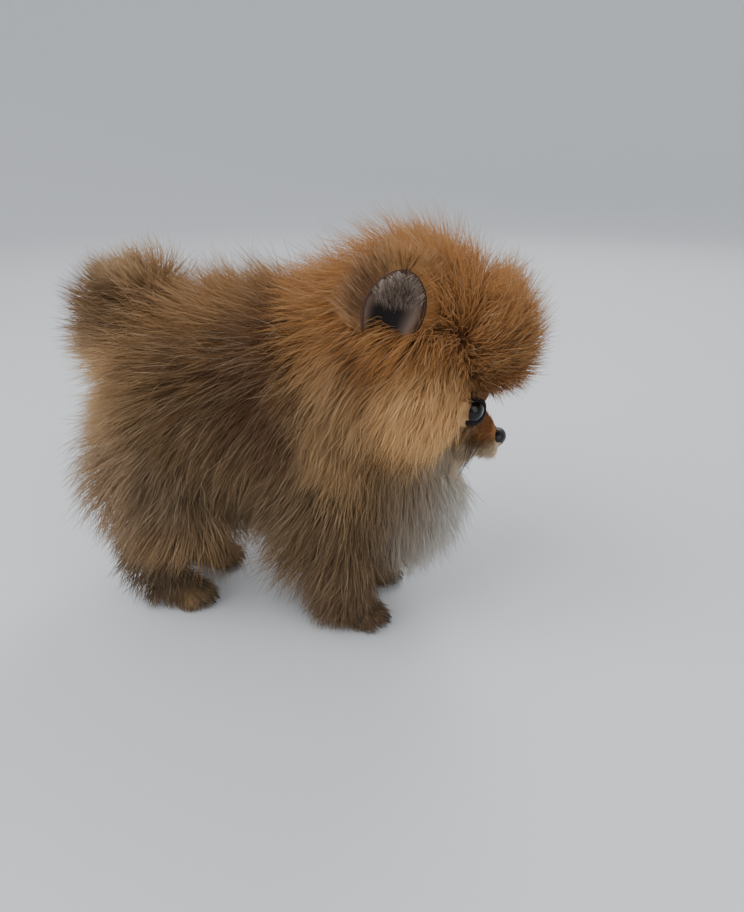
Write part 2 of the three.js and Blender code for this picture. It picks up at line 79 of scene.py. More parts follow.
def on_head(x, y, z):
    """A place in the head's own frame: x along the face, y left, z up, from the skull's centre."""
    c, s = math.cos(HEAD_PITCH), math.sin(HEAD_PITCH)
    return SKULL_AT + np.array((x * c + z * s, y, z * c - x * s))


def head_way(x, y, z):
    way = on_head(x, y, z) - SKULL_AT
    return way / np.linalg.norm(way)


eye_middle = sum((np.array(c) for s in ("right", "left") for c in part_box(f"eye_{s}")), np.zeros(3)) / 4
frame_shift = eye_middle / MM - on_head(EYE_PLACE[0], 0, EYE_PLACE[2])


def to_row(points):
    """Millimetres in the puppy's frame to metres in the row frame."""
    return (np.asarray(points, float) + frame_shift) * MM


def ball(bm, centre, radii, pitch=0.0, segments=28):
    """One rounded mass of flesh, with its own pitch in degrees."""
    place = Matrix.Translation(Vector(to_row(centre)))
    turn = Matrix.Rotation(math.radians(pitch), 4, "Y")
    size = Matrix.Diagonal((*(r * MM for r in radii), 1.0))
    bmesh.ops.create_uvsphere(
        bm, u_segments=segments, v_segments=segments // 2, radius=1, matrix=place @ turn @ size
    )


def chain(bm, points, radii, flat=1.0, pitch=0.0, steps=14):
    """A limb: balls close together along a bent line, with a radius for each of its points."""
    points = [np.asarray(p, float) for p in points]
    for i in range(steps + 1):
        t = i / steps * (len(points) - 1)
        low = min(int(t), len(points) - 2)
        at = points[low] + (points[low + 1] - points[low]) * (t - low)
        radius = radii[low] + (radii[low + 1] - radii[low]) * (t - low)
        ball(bm, at, (radius, radius, radius * flat), pitch, 18)


def new_object(name, mesh, material=None):
    thing = bpy.data.objects.new(name.replace(" ", "_"), mesh)
    bpy.context.scene.collection.objects.link(thing)
    if material:
        mesh.materials.append(material)
    return thing


def baked(thing):
    """Turns an object's modifiers into its plain mesh."""
    bpy.context.view_layer.update()
    evaluated = thing.evaluated_get(bpy.context.evaluated_depsgraph_get())
    mesh = bpy.data.meshes.new_from_object(evaluated)
    thing.modifiers.clear()
    thing.data = mesh
    return thing


tilt = math.degrees(HEAD_PITCH)
flesh = bmesh.new()
ball(flesh, SKULL_AT, (30, 26, 29), tilt)
ball(flesh, on_head(18, 0, 16), (16, 18, 14), tilt)
ball(flesh, (40, 0, 117), (27, 24, 30), -25)
ball(flesh, (51, 0, 78), (26, 23, 30))
ball(flesh, (14, 0, 103), (42, 27, 34))
ball(flesh, (-24, 0, 103), (40, 25, 31))
ball(flesh, (-45, 0, 91), (27, 25, 28))
chain(flesh, [on_head(17, 0, -9), on_head(33, 0, -14.5), on_head(45.5, 0, -16.8)], [13.5, 9.6, 6.6], 0.86, tilt)
chain(flesh, [on_head(10, 0, -24), on_head(26, 0, -25.6), on_head(38.5, 0, -24.6)], [10, 6.6, 4.2], 0.72, tilt)
ball(flesh, on_head(23, 0, -28), (14, 9.5, 8), tilt)
chain(flesh, [(-58, 0, 114), (-68, 0, 132), (-67, 0, 146), (-56, 0, 153)], [13, 9, 8, 6])
for side in sides:
    y = side * HALF_STANCE
    ball(flesh, on_head(9, side * 13, -12), (17, 12, 13), tilt)
    ball(flesh, on_head(23.4, side * 12.6, -7.4), (12, 10.4, 10.8), tilt)
    ball(flesh, on_head(36, side * 3.6, -19.6), (9, 5, 4.6), tilt)
    ball(flesh, (32, side * 21, 66), (18, 11, 25), 8)
    ball(flesh, (-55, side * 20, 68), (24, 13, 27), -18)
    chain(flesh, [(34, side * 21, 62), (36, y, 40), (FRONT_PAW_X - 5, y, 12)], [12, 10, 8])
    chain(
        flesh,
        [(-44, side * 21, 56), (-58, y, 36), (-62, y, 26), (HIND_PAW_X - 7, y, 12)],
        [14, 10.5, 8, 7.5],
    )
    for paw_x in (FRONT_PAW_X, HIND_PAW_X):
        ball(flesh, (paw_x - 3, y, 8), (12, 9, 8.2))
        for toe in (-1.5, -0.5, 0.5, 1.5):
            reach = 9.5 if abs(toe) < 1 else 6
            ball(flesh, (paw_x + reach, y + toe * 4.4, 4.6), (6, 2.9, 4.6))
skin_mesh = bpy.data.meshes.new("skin")
flesh.to_mesh(skin_mesh)
flesh.free()
skin = new_object("skin", skin_mesh)
merge = skin.modifiers.new("run together", "REMESH")
merge.mode = "VOXEL"
merge.voxel_size = SKIN_VOXEL * MM
ease = skin.modifiers.new("ease", "SMOOTH")
ease.factor = 0.6
ease.iterations = 5
baked(skin)


def attribute(mesh, name, kind, domain, values):
    layer = mesh.attributes.new(name, kind, domain)
    field = {"FLOAT": "value", "FLOAT_VECTOR": "vector", "FLOAT2": "vector"}[kind]
    layer.data.foreach_set(field, np.asarray(values, np.float32).ravel())


def vertices_of(mesh):
    co = np.empty(len(mesh.vertices) * 3, np.float32)
    mesh.vertices.foreach_get("co", co)
    return co.reshape(-1, 3).astype(float)


def unwrap(thing):
    """Lays the piece's own surface out flat, in a map of its own named OFBake."""
    bpy.ops.object.select_all(action="DESELECT")
    thing.select_set(True)
    bpy.context.view_layer.objects.active = thing
    if not thing.data.uv_layers:
        thing.data.uv_layers.new(name="OFBake")
    thing.data.uv_layers[0].name = "OFBake"
    bpy.ops.object.mode_set(mode="EDIT")
    bpy.ops.mesh.select_all(action="SELECT")
    bpy.ops.uv.smart_project(angle_limit=math.radians(66), island_margin=0.002)
    bpy.ops.object.mode_set(mode="OBJECT")


skin.data.shade_smooth()
skin_points = vertices_of(skin.data)
skin_points[:, 2] = np.maximum(skin_points[:, 2], 0.0006)
skin.data.vertices.foreach_set("co", skin_points.astype(np.float32).ravel())
skin.data.update()
attribute(skin.data, "root", "FLOAT_VECTOR", "POINT", skin_points / MM - frame_shift)
attribute(skin.data, "along", "FLOAT", "POINT", np.zeros(len(skin_points)))
attribute(skin.data, "vary", "FLOAT", "POINT", np.full(len(skin_points), 0.4))
unwrap(skin)
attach(skin, "root")
flesh_nodes = ["head", "lower_jaw", "neck", "torso", "chest", "tail"]
for side in ("right", "left"):
    flesh_nodes += [f"leg_front_{side}", f"leg_hind_{side}", f"paw_front_{side}", f"paw_hind_{side}"]
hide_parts(*flesh_nodes)


# Markings: an orange sable puppy coat, grey-brown below, with cream cheeks and a grey-white chest, and a dark
# band behind the ruff that is partly painted shade.
# Each hair is greyer at its root; skin and coat read one set of patches, placed by each hair's root.
class Reading:
    """A shader socket that arithmetic works on: numbers and other readings may stand on either side."""

    def __init__(self, tree, socket):
        self.tree = tree
        self.socket = socket

    def node(self, kind, settings=None, inputs=None, output=0):
        """Adds a node: its settings first, then the values or links of its sockets."""
        made = self.tree.nodes.new(kind)
        for name, value in (settings or {}).items():
            setattr(made, name, value)
        for key, value in (inputs or {}).items():
            socket = made.inputs[key]
            if isinstance(value, Reading):
                self.tree.links.new(value.socket, socket)
            else:
                socket.default_value = value
        return Reading(self.tree, made.outputs[output])

    def sum_of(self, operation, *others):
        values = {i: v for i, v in enumerate((self, *others))}
        return self.node("ShaderNodeMath", {"operation": operation}, values)

    def __sub__(self, other):
        return self.sum_of("SUBTRACT", other)

    def __rsub__(self, other):
        return self.node("ShaderNodeMath", {"operation": "SUBTRACT"}, {0: other, 1: self})

    def __mul__(self, other):
        return self.sum_of("MULTIPLY", other)

    __rmul__ = __mul__

    def between(self, low, high):
        """0 below low, 1 above high, and an eased step from one to the other."""
        span = {"interpolation_type": "SMOOTHSTEP"}
        return self.node("ShaderNodeMapRange", span, {"Value": self, "From Min": low, "From Max": high})

    def mixed(self, colour, amount):
        """This colour with some of another laid over it."""
        laid = {"Factor": amount, 6: self, 7: colour}
        return self.node("ShaderNodeMix", {"data_type": "RGBA"}, laid, 2)

    def vector(self, operation, *others, output=0):
        values = {i: v for i, v in enumerate((self, *others))}
        return self.node("ShaderNodeVectorMath", {"operation": operation}, values, output)


def linear(r, g, b):
    """A colour as seen on a screen, 0 to 255, as the light that the shader works in."""
    return tuple(((c / 255 + 0.055) / 1.055) ** 2.4 if c > 10 else c / 255 / 12.92 for c in (r, g, b)) + (1,)


def new_material(name):
    material = bpy.data.materials.new(name)
    material.use_nodes = True
    shader = material.node_tree.nodes["Principled BSDF"]
    return material, shader, Reading(material.node_tree, None)


def named(start, name, output):
    return start.node("ShaderNodeAttribute", {"attribute_name": name}, None, output)


# centre, half sizes, colour, strength: laid one over the other, mirrored left to right
BODY_TAN = (128, 96, 58)
PATCHES = (
    ((-10, 0, 142), (75, 40, 24), (146, 104, 58), 0.9),
    ((-70, 0, 108), (26, 45, 30), (206, 168, 122), 0.9),
    ((-40, 26, 128), (26, 18, 20), (138, 104, 66), 0.7),
    ((0, 27, 92), (62, 18, 30), (122, 96, 64), 0.8),
    ((-12, 24, 116), (20, 16, 22), (92, 62, 32), 0.75),
    ((-60, 28, 72), (36, 20, 26), (156, 128, 98), 0.9),
    ((-40, 24, 74), (12, 18, 20), (70, 52, 32), 0.6),
    ((32, 24, 62), (30, 20, 32), (106, 82, 54), 0.85),
    # dark brown band behind the ruff: darker coat, with painted shade of the gap between the ruff and the
    # shoulder coat
    ((14, 24, 124), (12, 20, 34), (82, 46, 18), 0.9),
    ((40, 24, 112), (13, 16, 34), (184, 146, 100), 0.9),
    ((70, 0, 152), (52, 44, 34), (172, 118, 62), 1.0),
    ((56, 28, 132), (9, 10, 16), (126, 80, 36), 0.75),
    ((44, 30, 140), (8, 12, 16), (196, 158, 116), 0.85),
    ((54, 32, 158), (13, 9, 13), (92, 54, 24), 0.8),
    ((97, 18, 146), (4, 5, 3), (78, 46, 22), 0.6),
    ((98, 0, 124), (16, 18, 10), (150, 98, 48), 0.8),
    ((72, 24, 112), (22, 14, 20), (236, 188, 128), 0.95),
    ((82, 18, 92), (14, 14, 12), (232, 204, 166), 0.9),
    ((76, 0, 66), (24, 26, 34), (204, 202, 196), 0.95),
    ((62, 18, 74), (10, 12, 22), (138, 118, 96), 0.5),
    ((78, 0, 92), (16, 20, 10), (186, 166, 138), 0.7),
    ((36, 18, 18), (26, 16, 24), (102, 78, 56), 0.8),
    ((-54, 18, 22), (26, 16, 26), (72, 56, 38), 0.85),
    ((52, 19.5, 4), (12, 12, 8), (86, 66, 46), 0.8),
    ((-36, 19.5, 4), (12, 12, 8), (104, 84, 60), 0.7),
    ((-66, 0, 140), (16, 14, 18), (96, 68, 40), 0.8),
    ((-60, 0, 158), (18, 14, 10), (172, 138, 98), 0.8),
    ((102, 0, 104), (18, 12, 10), (152, 92, 40), 0.95),
    ((94, 0, 86), (20, 16, 8), (222, 200, 170), 0.9),
    ((88, 0, 118), (8, 10, 9), (122, 74, 36), 0.7),
    ((93, 15, 111), (8, 8, 7), (96, 58, 30), 0.8),
    ((98, 8, 104), (9, 4, 3), (84, 48, 24), 0.7),
    ((81, 12, 84), (4, 5, 3), (50, 34, 22), 0.8),
)


def coat_colour(start):
    """The coat's colour from where a hair is rooted, how far out along it, and its own variation."""
    root = named(start, "root", 1)
    along = named(start, "along", 2)
    vary = named(start, "vary", 2)
    noise = root.node(
        "ShaderNodeTexNoise", {"noise_dimensions": "3D"}, {"Vector": root, "Scale": 0.055, "Detail": 2.0}, 1
    )
    shifted = root.vector("ADD", noise.vector("SUBTRACT", (0.5, 0.5, 0.5)).vector("MULTIPLY", (22, 16, 22)))
    place = shifted.vector("ABSOLUTE")
    signed = root.node("ShaderNodeSeparateXYZ", None, {0: shifted})
    folded = root.node("ShaderNodeSeparateXYZ", None, {0: place}, 1)
    high = root.node("ShaderNodeSeparateXYZ", None, {0: shifted}, 2)
    mirrored = root.node("ShaderNodeCombineXYZ", None, {0: signed, 1: folded, 2: high})
    colour = root.node("ShaderNodeRGB")
    colour.socket.default_value = linear(*BODY_TAN)
    for centre, half_sizes, tone, strength in PATCHES:
        away = mirrored.vector("SUBTRACT", centre).vector("DIVIDE", half_sizes)
        inside = 1 - away.vector("LENGTH", output=1).between(0.62, 1.28)
        colour = colour.mixed(linear(*tone), inside * strength)
    depth = 1 - along.between(0.0, 0.55)
    colour = colour.mixed(colour.vector("MULTIPLY", (0.5, 0.47, 0.46)), depth * 0.42)
    streak = root.node(
        "ShaderNodeTexNoise", {"noise_dimensions": "3D"}, {"Vector": root, "Scale": 0.22, "Detail": 3.0}
    )
    dark_tip = along.between(0.45, 0.95) * vary.between(0.55, 0.9)
    colour = colour.mixed(linear(52, 36, 24), dark_tip * 0.18)
    colour = colour.mixed(linear(64, 48, 36), (1 - streak.between(0.3, 0.52)) * 0.22)
    colour = colour.mixed(linear(214, 186, 148), vary.between(0.8, 1.0) * along.between(0.2, 0.7) * 0.4)
    return colour.mixed(linear(238, 214, 182), vary * 0.1)


coat_material, coat_shader, start = new_material("puppy coat")
shade = coat_colour(start)
start.tree.links.new(shade.socket, coat_shader.inputs["Base Color"])
coat_shader.inputs["Roughness"].default_value = 0.75
coat_shader.inputs["Specular IOR Level"].default_value = 0.12
coat_shader.inputs["Sheen Weight"].default_value = 0.05
coat_shader.inputs["Sheen Roughness"].default_value = 0.5
skin.data.materials.append(coat_material)

# Eyes: dark brown, nearly black, wet and round, looking a little down and outwards.
# Each is a ball with a clear bulge at the front, sunk in the head to the lids.
EYE_RADIUS = 6.9


def eye_at(side):
    return on_head(EYE_PLACE[0], side * EYE_PLACE[1], EYE_PLACE[2])


def eye_way(side):
    return head_way(0.55, side * 0.8, 0.3)


def facing(way):
    """A turn that takes +z to a direction."""
    return Vector(way).to_track_quat("Z", "Y").to_matrix().to_4x4()


eye_material, eye_shader, start = new_material("eye")
eye_shader.inputs["Roughness"].default_value = 0.06
eye_shader.inputs["Specular IOR Level"].default_value = 0.3
eye_shader.inputs["Base Color"].default_value = linear(10, 6, 5)
for side, word in zip(sides, ("right", "left")):
    bm = bmesh.new()
    turn = facing(eye_way(side))
    bmesh.ops.create_uvsphere(bm, u_segments=48, v_segments=32, radius=EYE_RADIUS * MM)
    for v in bm.verts:
        front = max(0.0, v.co.z / (EYE_RADIUS * MM) - 0.72) / 0.28
        v.co.z += front * front * 0.7 * MM
    bm.transform(Matrix.Translation(Vector(to_row(eye_at(side)))) @ turn)
    mesh = bpy.data.meshes.new(f"eye {word}")
    bm.to_mesh(mesh)
    bm.free()
    mesh.shade_smooth()
    eye = new_object(f"eye {word}", mesh, eye_material)
    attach(eye, "root")
    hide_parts(f"eye_{word}")

# Eyelids: thin, close to the ball, with a black hairless rim round an almond opening.
# Each is one sheet from the rim back under the fur, with its edge turned in to the eye.
LID_HALF_LENGTH = 5.9
LID_HALF_HEIGHT = 4.5
# how far round from the rim to the back of the ball, and how far from its centre
LID_SECTION = ((0, 6.5), (0, 7.15), (0.04, 7.5), (0.14, 7.75), (0.3, 7.9), (0.55, 7.9), (0.8, 7.7), (1, 7.0))

lid_material, lid_shader, start = new_material("eyelid")
rim = named(start, "along", 2)
lid_colour = start.node("ShaderNodeRGB")
lid_colour.socket.default_value = linear(20, 14, 12)
lid_colour = lid_colour.mixed(linear(104, 66, 36), rim.between(0.16, 0.6))
start.tree.links.new(lid_colour.socket, lid_shader.inputs["Base Color"])
lid_shader.inputs["Roughness"].default_value = 0.6
lid_shader.inputs["Specular IOR Level"].default_value = 0.15


def quads(rows, columns, closed=True):
    """Faces of a grid of points, row after row, joined round where it is closed."""
    r, c = np.meshgrid(np.arange(rows - 1), np.arange(columns if closed else columns - 1), indexing="ij")
    a = r * columns + c
    b = r * columns + (c + 1) % columns
    return np.stack([a, b, b + columns, a + columns], -1).reshape(-1, 4)


def grid_object(name, points, rows, columns, material, closed=True, flip=False):
    faces = quads(rows, columns, closed)
    if flip:
        faces = faces[:, ::-1]
    mesh = bpy.data.meshes.new(name)
    mesh.from_pydata(points.reshape(-1, 3).tolist(), [], faces.tolist())
    mesh.shade_smooth()
    return new_object(name, mesh, material)


for side, word in zip(sides, ("right", "left")):
    steps = np.linspace(0, 2 * math.pi, 64, endpoint=False)
    away = eye_way(side)
    across = np.cross((0, 0, 1.0), away)
    across /= np.linalg.norm(across)
    upward = np.cross(away, across)
    rows, alongs = [], []
    for t, radius in LID_SECTION:
        half_x = LID_HALF_LENGTH * np.cos(steps)
        tall = np.where(np.sin(steps) > 0, 1.05, 0.86)
        half_y = LID_HALF_HEIGHT * np.sin(steps) * tall * (1 - 0.24 * np.cos(steps) ** 2)
        reach = np.hypot(half_x, half_y)
        rim_angle = np.arcsin(np.clip(reach / 7.2, 0, 0.98))
        angle = rim_angle + t * (1.62 - rim_angle)
        ux, uy = half_x / reach, half_y / reach
        way = (
            np.cos(angle)[:, None] * away
            + np.sin(angle)[:, None] * (ux[:, None] * across + uy[:, None] * upward)
        )
        rows.append(to_row(eye_at(side) + way * radius))
        alongs.append(np.full(len(steps), t))
    lid = grid_object(f"eyelids {word}", np.array(rows), len(rows), len(steps), lid_material)
    attribute(lid.data, "along", "FLOAT", "POINT", np.array(alongs))
    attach(lid, "root")

# Nose leather: black, moist and finely pebbled, with comma-shaped nostrils and a groove between.
# A rounded pad, its nostrils and groove pressed in, set on the end of the muzzle.
NOSE_AT = on_head(48.6, 0, -14.5)
NOSE_HALF = (3.9, 5.3, 4.3)

nose_material, nose_shader, start = new_material("nose leather")
nose_shader.inputs["Base Color"].default_value = linear(20, 17, 17)
nose_shader.inputs["Roughness"].default_value = 0.3
nose_shader.inputs["Specular IOR Level"].default_value = 0.35
pebbles = start.node("ShaderNodeTexCoord", None, None, 3)
cells = pebbles.node("ShaderNodeTexVoronoi", {"feature": "F1"}, {"Vector": pebbles, "Scale": 1500.0})
bump = cells.node("ShaderNodeBump", None, {"Strength": 0.5, "Distance": 0.0002, "Height": cells})
start.tree.links.new(bump.socket, nose_shader.inputs["Normal"])

bm = bmesh.new()
bmesh.ops.create_uvsphere(bm, u_segments=96, v_segments=64, radius=1)
for v in bm.verts:
    x, y, z = v.co.z, v.co.x, v.co.y  # the pole points forward
    y, z = y * (1 + 0.14 * z), z * (1 - 0.1 * abs(y))
    p = np.array((x * NOSE_HALF[0], y * NOSE_HALF[1], z * NOSE_HALF[2]))
    for s in sides:
        pit = ((p[1] - s * 2.3) / 1.25) ** 2 + ((p[2] + 0.3) / 1.2) ** 2
        slit = ((p[1] - s * 3.9) / 1.6) ** 2 + ((p[2] + 0.9) / 0.55) ** 2
        if p[0] > -1:
            p[0] -= 2.2 * math.exp(-pit * 1.4) + 1.5 * math.exp(-slit * 1.4)
    if p[0] > 0:
        p[0] -= 0.8 * math.exp(-((p[1] / 0.4) ** 2)) * min(1, max(0, 0.6 - p[2] / 3))
    v.co = Vector(to_row(NOSE_AT + (on_head(*p) - SKULL_AT)))
nose_mesh = bpy.data.meshes.new("nose")
bm.to_mesh(nose_mesh)
bm.free()
nose_mesh.shade_smooth()
nose = new_object("nose", nose_mesh, nose_material)
turned = bmesh.new()
turned.from_mesh(nose_mesh)
bmesh.ops.recalc_face_normals(turned, faces=turned.faces)
turned.to_mesh(nose_mesh)
turned.free()
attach(nose, "root")
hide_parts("nose")

# Lips: the black edge of the mouth, from the groove under the nose back to each corner.
# A soft cord of skin, swept along its line and half sunk in the fur of the muzzle.
# The same tree of nodes sweeps the claws and whiskers further down.
lip_material, lip_shader, start = new_material("lip")
lip_shader.inputs["Base Color"].default_value = linear(34, 24, 22)
lip_shader.inputs["Roughness"].default_value = 0.5


cord_tree = bpy.data.node_groups.new("tapering cord", "GeometryNodeTree")
for name, kind in (("Line", "Geometry"), ("Sides", "Int"), ("Finish", "Material")):
    cord_tree.interface.new_socket(name, in_out="INPUT", socket_type=f"NodeSocket{kind}")
cord_tree.interface.new_socket("Cord", in_out="OUTPUT", socket_type="NodeSocketGeometry")
cord_inputs = {s.name: s.identifier for s in cord_tree.interface.items_tree if s.in_out == "INPUT"}
given = cord_tree.nodes.new("NodeGroupInput")
cord_steps = [
    cord_tree.nodes.new(f"GeometryNode{kind}")
    for kind in ("MeshToCurve", "CurveToMesh", "SetShadeSmooth", "RealizeInstances", "SetMaterial")
]
sweep = cord_steps[1]
thick = cord_tree.nodes.new("GeometryNodeInputNamedAttribute")
thick.data_type = "FLOAT"
thick.inputs["Name"].default_value = "thick"
section = cord_tree.nodes.new("GeometryNodeCurvePrimitiveCircle")
section.inputs["Radius"].default_value = 1
made = cord_tree.nodes.new("NodeGroupOutput")
sweep.inputs["Fill Caps"].default_value = True
for source, target in zip([given] + cord_steps, cord_steps + [made]):
    cord_tree.links.new(source.outputs[0], target.inputs[0])
cord_tree.links.new(thick.outputs[0], sweep.inputs["Scale"])
cord_tree.links.new(given.outputs["Sides"], section.inputs["Resolution"])
cord_tree.links.new(section.outputs[0], sweep.inputs["Profile Curve"])
cord_tree.links.new(given.outputs["Finish"], cord_steps[-1].inputs["Material"])


def cord_object(name, points, radii, material, around=10):
    """A round, tapering cord through a line of points, closed at both ends."""
    mesh = bpy.data.meshes.new(name)
    mesh.from_pydata(to_row(points).tolist(), [(i, i + 1) for i in range(len(points) - 1)], [])
    attribute(mesh, "thick", "FLOAT", "POINT", np.asarray(radii) * MM)
    cord = new_object(name, mesh)
    swept = cord.modifiers.new("sweep", "NODES")
    swept.node_group = cord_tree
    swept[cord_inputs["Sides"]] = around
    swept[cord_inputs["Finish"]] = material
    return baked(cord)


def curved(points, count=24):
    """A smooth line through a few points."""
    points = np.asarray(points, float)
    t = np.linspace(0, len(points) - 1, count)
    low = np.minimum(t.astype(int), len(points) - 2)
    padded = np.vstack([2 * points[0] - points[1], points, 2 * points[-1] - points[-2]])
    a, b, c, d = (padded[low + k] for k in range(4))
    u = (t - low)[:, None]
    return 0.5 * (2 * b + (c - a) * u + (2 * a - 5 * b + 4 * c - d) * u**2 + (3 * b - a - 3 * c + d) * u**3)


mouth_line = [(47.5, 0.4, -20.5), (46, 2.5, -22.2), (41, 6.2, -23.2), (34, 8.4, -24), (27, 9.6, -24.6)]
for side, word in zip(sides, ("right", "left")):
    line = curved([on_head(x, side * y, z) for x, y, z in mouth_line])
    lip = cord_object(f"lip {word}", line, np.linspace(0.9, 0.5, len(line)), lip_material)
    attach(lip, "root")

# Ears: small upright cups of thin skin with rounded tips, open to the front and outside.
# The skin is pinkish grey inside and dark brown at the rim, with painted shade near black in the deep hollow.
EAR_PLACE = (-17.5, 33, 24.5)
EAR_HALF_WIDTH = 11.5
EAR_TALL = 27.0
EAR_DEEP = 9.0
EAR_THICK = 1.3

ear_material, ear_shader, start = new_material("ear skin")
across_ear = named(start, "across", 2)
up_ear = named(start, "along", 2)
ear_colour = start.node("ShaderNodeRGB")
ear_colour.socket.default_value = linear(134, 112, 98)
# painted shade: the deep hollow at the base of the cup is darkened to near black
painted_hollow_shade = (1 - across_ear.between(0.25, 0.8)) * (1 - up_ear.between(0.3, 0.66))
ear_colour = ear_colour.mixed(linear(14, 8, 8), painted_hollow_shade)
rim_of_ear = across_ear.between(0.62, 0.95).sum_of("MAXIMUM", up_ear.between(0.84, 0.97))
ear_colour = ear_colour.mixed(linear(62, 36, 18), rim_of_ear)
start.tree.links.new(ear_colour.socket, ear_shader.inputs["Base Color"])
ear_shader.inputs["Roughness"].default_value = 0.7


def ear_axes(side):
    front = head_way(0.42, side, 0.1)
    upward = head_way(-0.12, side * 0.22, 1)
    across = np.cross(upward, front)
    across /= np.linalg.norm(across)
    return front, across, np.cross(front, across)


def ear_point(side, u, v, sink=0.0):
    """A point of the ear's sheet: u across from edge to edge, v from base to tip."""
    front, across, upward = ear_axes(side)
    base = on_head(EAR_PLACE[0], side * EAR_PLACE[1], EAR_PLACE[2]) - upward * EAR_TALL * 0.52
    rounded_tip = np.power(np.clip(1 - np.power(v, 2.6), 0, 1), 0.5)
    half = EAR_HALF_WIDTH * rounded_tip * (0.86 + 0.3 * np.sin(math.pi * v * 0.8))
    turn = u * math.pi * 0.5
    sideways = half * np.sin(turn)
    depth = -EAR_DEEP * np.cos(turn) * (1 - 0.55 * v) * (half / EAR_HALF_WIDTH + 0.15)
    forward = 2.5 * v**2 - sink
    return (
        base
        + across * sideways[..., None]
        + front * (depth + forward)[..., None]
        + upward * (EAR_TALL * v)[..., None]
    )


ear_rows, ear_columns = 26, 27
ear_v, ear_u = np.meshgrid(np.linspace(0, 1, ear_rows), np.linspace(-1, 1, ear_columns), indexing="ij")
for side, word in zip(sides, ("right", "left")):
    inner = ear_point(side, ear_u, ear_v)
    mesh = bpy.data.meshes.new(f"ear {word}")
    faces = quads(ear_rows, ear_columns, closed=False)
    mesh.from_pydata(to_row(inner).reshape(-1, 3).tolist(), [], faces.tolist())
    attribute(mesh, "across", "FLOAT", "POINT", np.abs(ear_u))
    attribute(mesh, "along", "FLOAT", "POINT", ear_v)
    mesh.shade_smooth()
    ear = new_object(f"ear {word}", mesh, ear_material)
    wall = ear.modifiers.new("thickness", "SOLIDIFY")
    wall.thickness = EAR_THICK * MM
    wall.offset = 0
    baked(ear)
    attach(ear, "root")
    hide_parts(f"ear_{word}")

# Claws: short, dark, curved horn, one at the end of each toe, almost hidden by the fur.
# A tapering cone bent down, sunk in the toe.
claw_material, claw_shader, start = new_material("claw")
claw_shader.inputs["Base Color"].default_value = linear(52, 42, 36)
claw_shader.inputs["Roughness"].default_value = 0.35
for side, word in zip(sides, ("right", "left")):
    for paw_x, end in ((FRONT_PAW_X, "front"), (HIND_PAW_X, "hind")):
        for i, toe in enumerate((-1.5, -0.5, 0.5, 1.5)):
            tip_x = paw_x + (13.6 if abs(toe) < 1 else 10.2)
            y = side * HALF_STANCE + toe * 4.4
            line = curved([(tip_x, y, 4.6), (tip_x + 2.4, y, 4.1), (tip_x + 4.4, y, 2.0)], 10)
            claw = cord_object(
                f"claw {end} {word} {i + 1}", line, 1.05 * (1 - np.linspace(0, 0.97, 10) ** 2), claw_material
            )
            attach(claw, "root")

# Coat: soft, dense puppy fluff, long on the crown, ruff, back and tail, short on face and feet.
# Thin tapered tufts of hair rooted in the skin, bent along the lie and drawn together in clumps.

